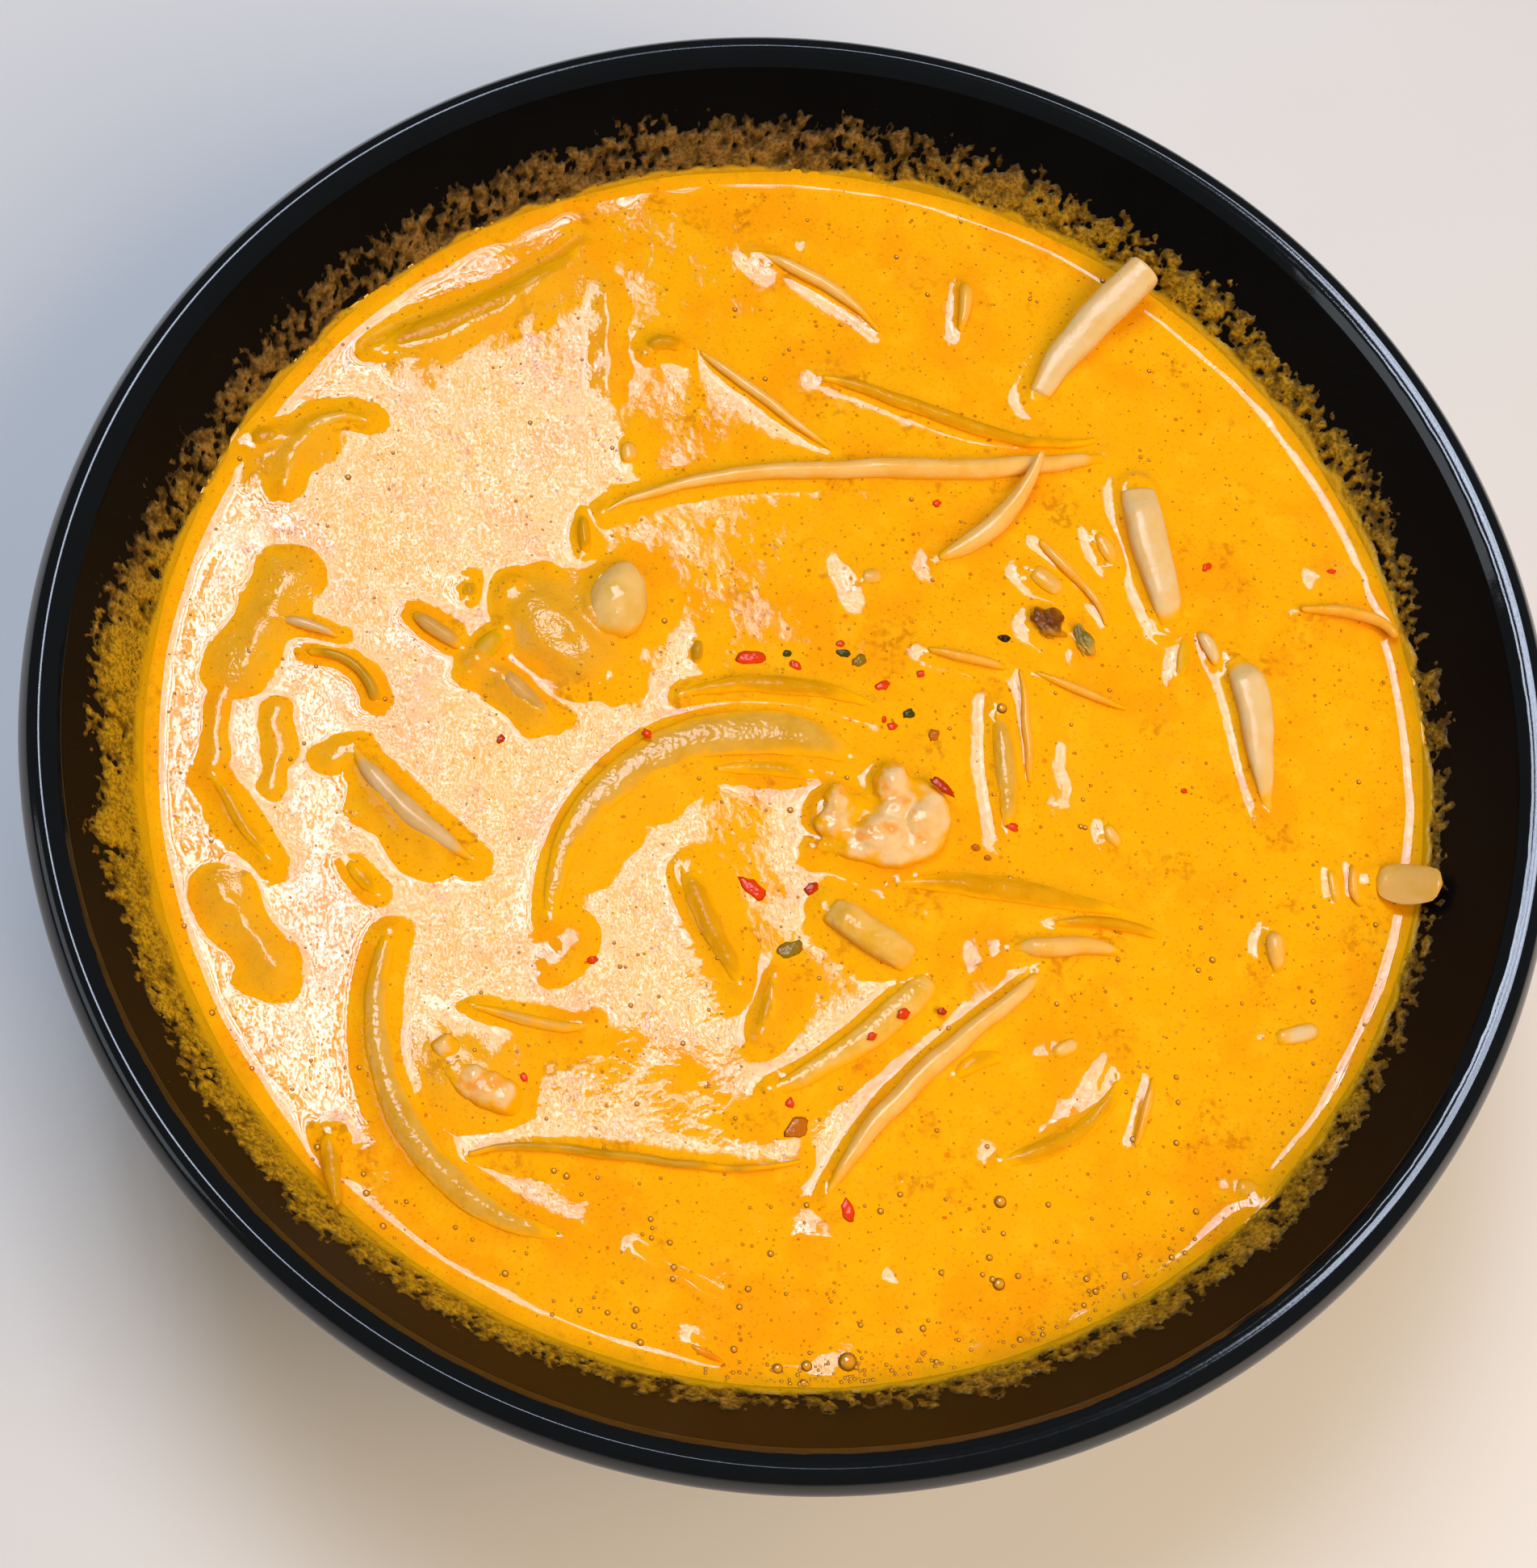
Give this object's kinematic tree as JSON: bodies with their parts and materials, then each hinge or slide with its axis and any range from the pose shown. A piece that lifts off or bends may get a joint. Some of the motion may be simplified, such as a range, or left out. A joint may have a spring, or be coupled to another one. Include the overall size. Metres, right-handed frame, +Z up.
{
  "type": "champon",
  "caption": "Orange noodle soup with shrimp, bean sprouts, onion and pale strips, in a wide black bowl on a foot ring.",
  "frame": {"origin": "middle of the flat underside of the bowl's foot ring, on the surface that it stands on", "axes": "+Z up; +Y away from the viewer, towards the top of the picture; +X to the picture's right"},
  "size_m": [0.22, 0.22, 0.078],
  "materials": {
    "bowl": "satin outside and on the lip, gloss inside, black melamine",
    "soup": "wet gloss",
    "pale_strip": "wet",
    "sprout": "wet",
    "onion": "wet, wrinkled",
    "shrimp": "wet",
    "leaf": "wet",
    "meat": "wet"
  },
  "bodies": {
    "root": {"bean_large": "sprout", "bean_top": "sprout", "bowl": "bowl", "green_scrap": "leaf", "leaf_green": "leaf", "leaf_tail": "leaf", "meat_scrap": "meat", "onion_arc": "onion", "onion_arc_left": "onion", "onion_arc_small": "onion", "onion_block": "pale_strip", "onion_chunk": "onion", "onion_curl": "onion", "onion_petal_edge": "onion", "onion_petal_left": "onion", "onion_petal_pointed": "onion", "onion_petal_small": "onion", "onion_petal_thin": "onion", "onion_petal_upright": "onion", "onion_petal_wall": "onion", "onion_petal_wide": "onion", "onion_sliver_low": "onion", "onion_sliver_mid": "onion", "onion_strip_high": "onion", "onion_strip_mid": "onion", "onion_strip_right": "onion", "onion_strip_steep": "onion", "onion_strip_top": "onion", "pale_strip_right": "pale_strip", "pale_strip_tapered": "pale_strip", "pale_strip_top": "pale_strip", "pale_strip_torn": "pale_strip", "root_curl": "sprout", "root_hook": "sprout", "root_pale": "sprout", "root_short": "sprout", "root_strand": "sprout", "root_upright": "sprout", "scrap_pale": "sprout", "seed": "sprout", "shrimp_large": "shrimp", "shrimp_small": "shrimp", "soup": "soup", "sprout_curved": "sprout", "sprout_diagonal": "sprout", "sprout_edge": "sprout", "sprout_left": "sprout", "sprout_left_end": "sprout", "sprout_long": "sprout", "sprout_low": "sprout", "sprout_pair_high": "sprout", "sprout_pair_low": "sprout", "sprout_upper": "sprout", "sprout_with_head": "sprout", "strip_beaded": "sprout", "strip_pale": "sprout", "strip_short": "sprout", "strip_top_right": "sprout", "strip_upright": "sprout"}
  },
  "joints": []
}
